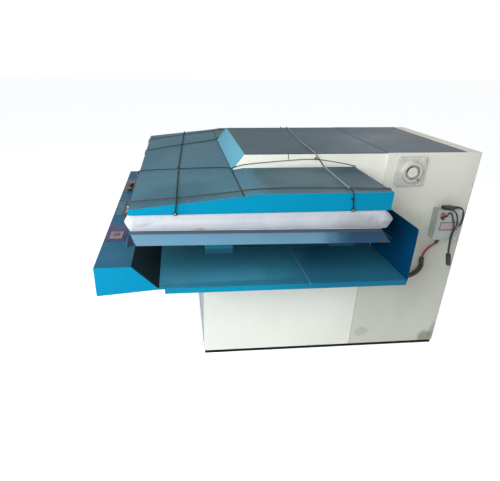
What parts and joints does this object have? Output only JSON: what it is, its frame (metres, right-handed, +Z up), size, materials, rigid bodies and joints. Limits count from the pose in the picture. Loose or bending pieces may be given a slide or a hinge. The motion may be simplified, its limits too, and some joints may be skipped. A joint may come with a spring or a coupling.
{
  "type": "flatbed press",
  "caption": "Floor-standing flatbed press: a wide padded head on a lever arm closes on a heated bed over a tray, with a column behind and a control console in front",
  "frame": {"origin": "middle of the machine at floor level, at the centre of its bounding box seen from above", "axes": "+Z up, -Y towards the operator at the console, +X to the operator's right"},
  "size_m": [1.71, 1.79, 1.106],
  "materials": {
    "black_paint": "matt",
    "grey_steel": "satin",
    "white_paint": "satin",
    "blue_paint": "satin",
    "navy_paint": "satin",
    "slate_paint": "satin",
    "sky_paint": "satin",
    "skirt_paint": "satin",
    "panel_plastic": "matt",
    "frame_plastic": "gloss",
    "black_plastic": "gloss",
    "red_plastic": "gloss",
    "grey_plastic": "satin",
    "aluminium": "brushed",
    "bright_steel": "brushed",
    "cylinder_metal": "smooth",
    "cast_iron": "cast",
    "insulation": "matt",
    "felt": "matt",
    "cotton": "matt",
    "cord": "matt",
    "black_rubber": "matt",
    "red_rubber": "satin"
  },
  "bodies": {
    "stand": {"base_frame": "grey_steel", "base_front": "white_paint", "base_sides": "white_paint", "bearing_bolts": "bright_steel", "bearing_inserts": "bright_steel", "bed_beams": "slate_paint", "bed_pan": "grey_steel", "bed_skirts": "skirt_paint", "box_lid": "grey_plastic", "cable_glands": "black_plastic", "cable_sleeve": "black_rubber", "column_front_panel": "slate_paint", "column_plates": "white_paint", "column_top_cover": "slate_paint", "console_brackets": "blue_paint", "console_housing": "blue_paint", "console_panels": "panel_plastic", "cylinder_body": "cylinder_metal", "cylinder_bracket": "grey_steel", "electrical_box": "grey_plastic", "flange_bearings": "cast_iron", "heating_elements": "bright_steel", "insulation": "insulation", "lower_platen": "aluminium", "pedestal": "slate_paint", "pendant_cables": "black_rubber", "pendant_connector": "black_plastic", "rear_cover": "white_paint", "rear_rim": "white_paint", "red_cable": "red_rubber", "skids": "black_paint", "supply_cable": "black_rubber", "switch_frame": "frame_plastic", "tray_bearers": "blue_paint", "tray_front": "blue_paint", "tray_rear": "blue_paint", "tray_wings": "navy_paint"},
    "head": {"arm_sides": "white_paint", "arm_top_cover": "slate_paint", "nose_panel": "sky_paint", "lever_plates": "grey_steel", "pivot_shaft": "bright_steel", "lever_pin": "bright_steel", "head_front_cover": "blue_paint", "wing_covers": "blue_paint", "head_sides": "blue_paint", "head_ribs": "grey_steel", "upper_platen": "aluminium", "press_pad": "felt", "pad_cover": "cotton", "cords_across": "cord", "cords_along": "cord", "cord_hooks": "bright_steel"},
    "rod": {"cylinder_rod": "bright_steel"},
    "front_key": {"key_front": "black_plastic"},
    "rear_key": {"key_rear": "black_plastic"},
    "left_palm": {"palm_button_left": "black_plastic"},
    "right_palm": {"palm_button_right": "black_plastic"},
    "stop": {"stop_button": "red_plastic"},
    "start": {"start_button": "black_plastic"}
  },
  "joints": [
    {"name": "head_hinge", "type": "hinge", "parent": "stand", "child": "head", "pos_m": [0, 0.55, 1.016], "axis": [-1, 0, 0], "range_deg": [0, 10]},
    {"name": "rod_slide", "type": "slide", "parent": "stand", "child": "rod", "axis": [0, 0, -1], "range_m": [0, 0.0385]},
    {"name": "front_key_press", "type": "slide", "parent": "stand", "child": "front_key", "axis": [0, 0, -1], "range_m": [0, 0.002], "stiffness_N_per_m": 300, "springref_m": -0.001},
    {"name": "rear_key_press", "type": "slide", "parent": "stand", "child": "rear_key", "axis": [0, 0, -1], "range_m": [0, 0.002], "stiffness_N_per_m": 300, "springref_m": -0.001},
    {"name": "left_palm_press", "type": "slide", "parent": "stand", "child": "left_palm", "axis": [0, 0, -1], "range_m": [0, 0.004], "stiffness_N_per_m": 600, "springref_m": -0.002},
    {"name": "right_palm_press", "type": "slide", "parent": "stand", "child": "right_palm", "axis": [0, 0, -1], "range_m": [0, 0.004], "stiffness_N_per_m": 600, "springref_m": -0.002},
    {"name": "stop_press", "type": "slide", "parent": "stand", "child": "stop", "axis": [-1, 0, 0], "range_m": [0, 0.004], "stiffness_N_per_m": 500, "springref_m": -0.002},
    {"name": "start_press", "type": "slide", "parent": "stand", "child": "start", "axis": [-1, 0, 0], "range_m": [0, 0.004], "stiffness_N_per_m": 500, "springref_m": -0.002}
  ],
  "couplings": [
    {"joint": "rod_slide", "follows": "head_hinge", "m_per_rad": 0.22}
  ]
}
